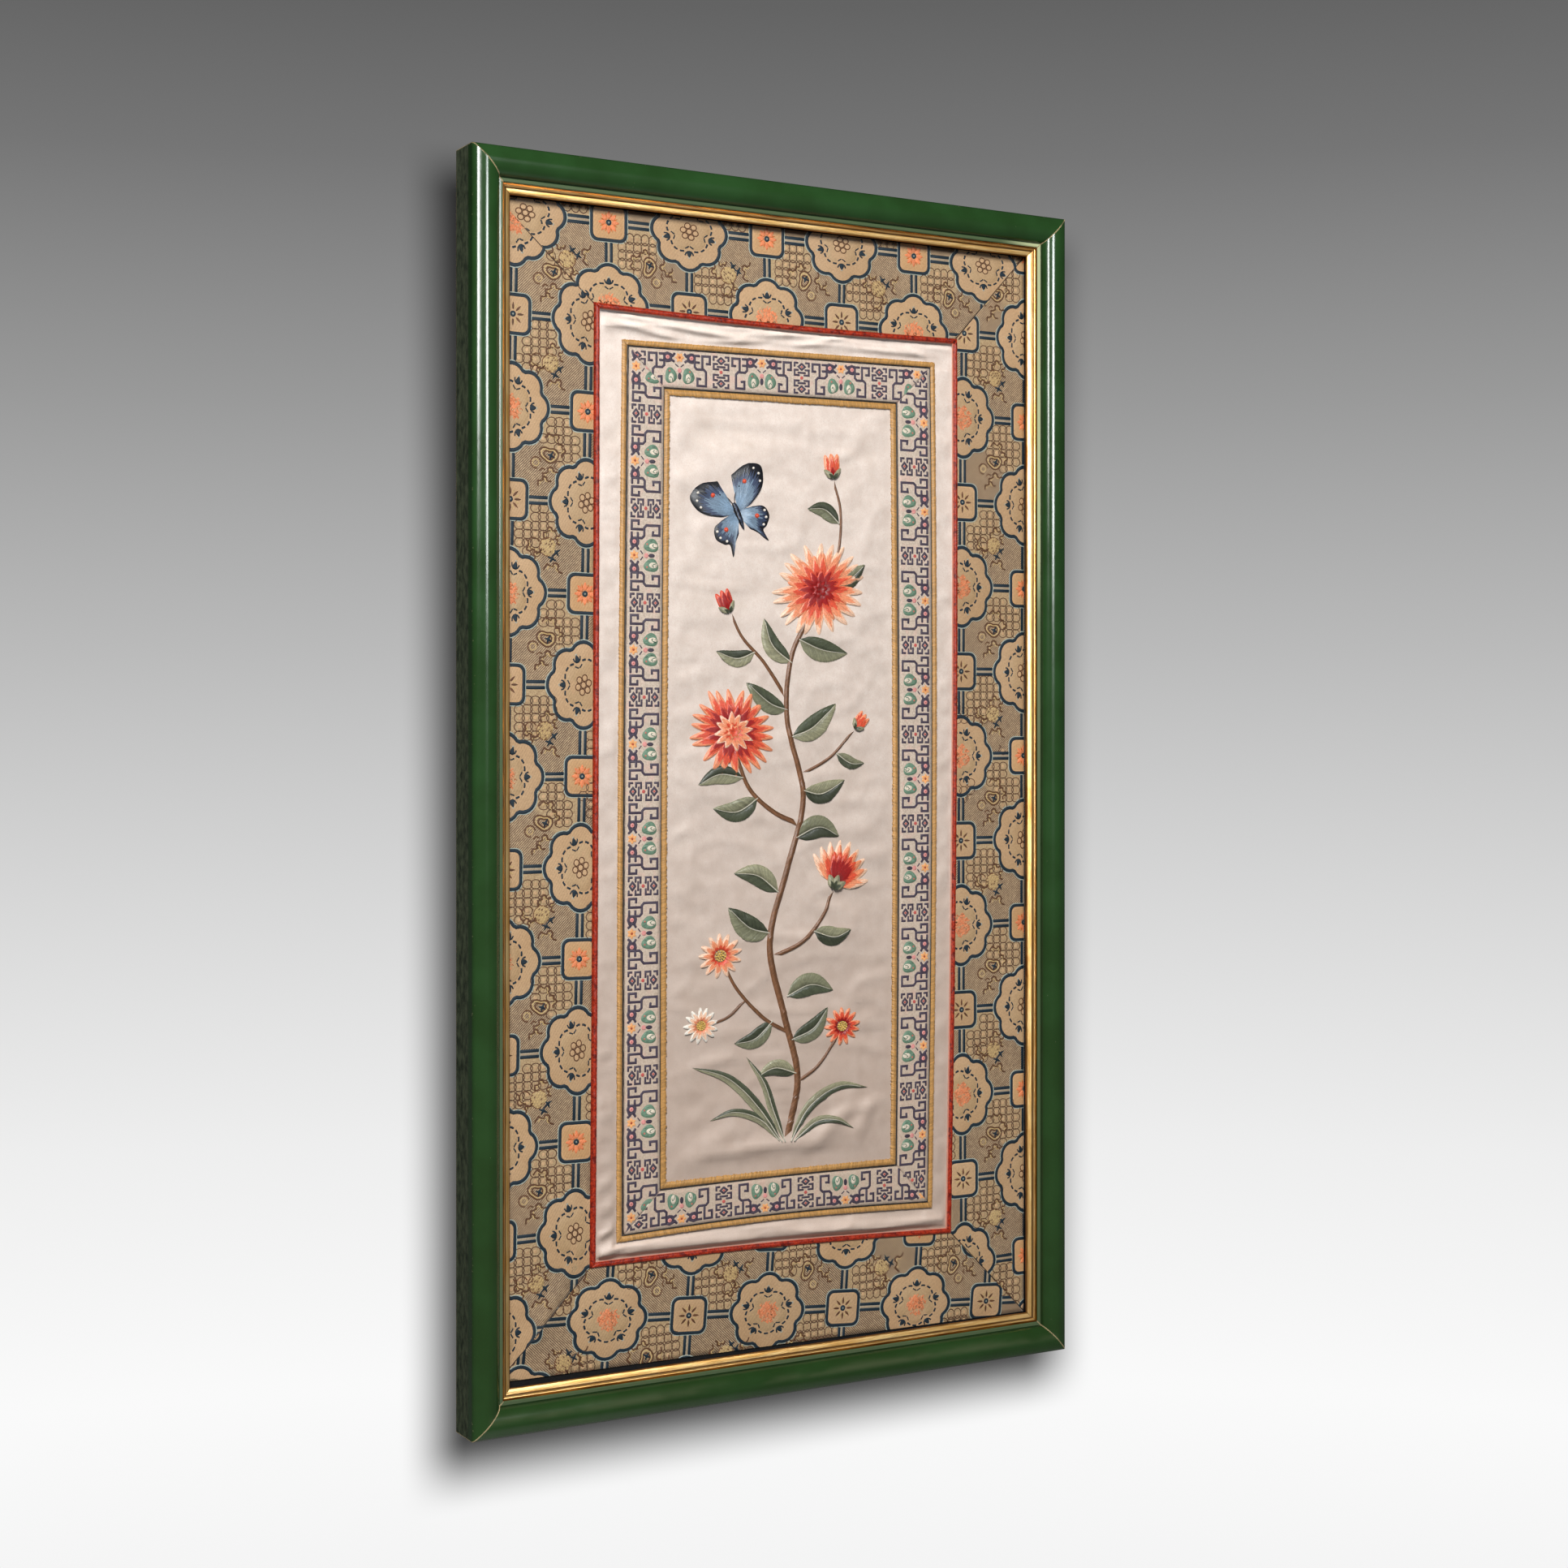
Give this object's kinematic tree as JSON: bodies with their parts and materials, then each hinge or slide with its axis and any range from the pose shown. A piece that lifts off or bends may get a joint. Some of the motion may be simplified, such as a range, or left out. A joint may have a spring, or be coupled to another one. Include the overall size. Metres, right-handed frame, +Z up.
{
  "type": "framed silk embroidery panel with its moulded wall frame",
  "caption": "Tall embroidered silk panel with patterned ribbon borders and a brocade surround, in a painted half-round wall frame with a gilt slip.",
  "frame": {"origin": "middle of the back, where the panel lies against its wall", "axes": "+Z up along the height, +X to the right seen from the front, +Y out of the back towards the wall"},
  "size_m": [0.4, 0.027, 0.711],
  "materials": {
    "frame_paint": "wood painted glossy dark green, a little worn at the corners",
    "slip_gilt": "wood with a worn gold-leaf finish",
    "board_black": "matt black faced board, plain brown at the back",
    "brocade": "figured silk brocade, tan ground with blue, brown and salmon figures",
    "piping_red": "folded red satin",
    "satin_cream": "cream silk satin, soft sheen",
    "ribbon_weave": "woven silk ribbon, cream with grey-purple fret, green and orange figures",
    "braid_gold": "gold silk braid with a black edge",
    "embroidery_silk": "floss silk in satin stitch"
  },
  "bodies": {
    "root": {"rail_top": "frame_paint", "rail_right": "frame_paint", "rail_bottom": "frame_paint", "rail_left": "frame_paint", "slip_top": "slip_gilt", "slip_right": "slip_gilt", "slip_bottom": "slip_gilt", "slip_left": "slip_gilt", "backing_board": "board_black", "brocade_top": "brocade", "brocade_right": "brocade", "brocade_bottom": "brocade", "brocade_left": "brocade", "piping_top": "piping_red", "piping_right": "piping_red", "piping_bottom": "piping_red", "piping_left": "piping_red", "satin_panel": "satin_cream", "ribbon_top": "ribbon_weave", "ribbon_right": "ribbon_weave", "ribbon_bottom": "ribbon_weave", "ribbon_left": "ribbon_weave", "braid_outer_top": "braid_gold", "braid_outer_right": "braid_gold", "braid_outer_bottom": "braid_gold", "braid_outer_left": "braid_gold", "braid_inner_top": "braid_gold", "braid_inner_right": "braid_gold", "braid_inner_bottom": "braid_gold", "braid_inner_left": "braid_gold"}
  },
  "joints": []
}
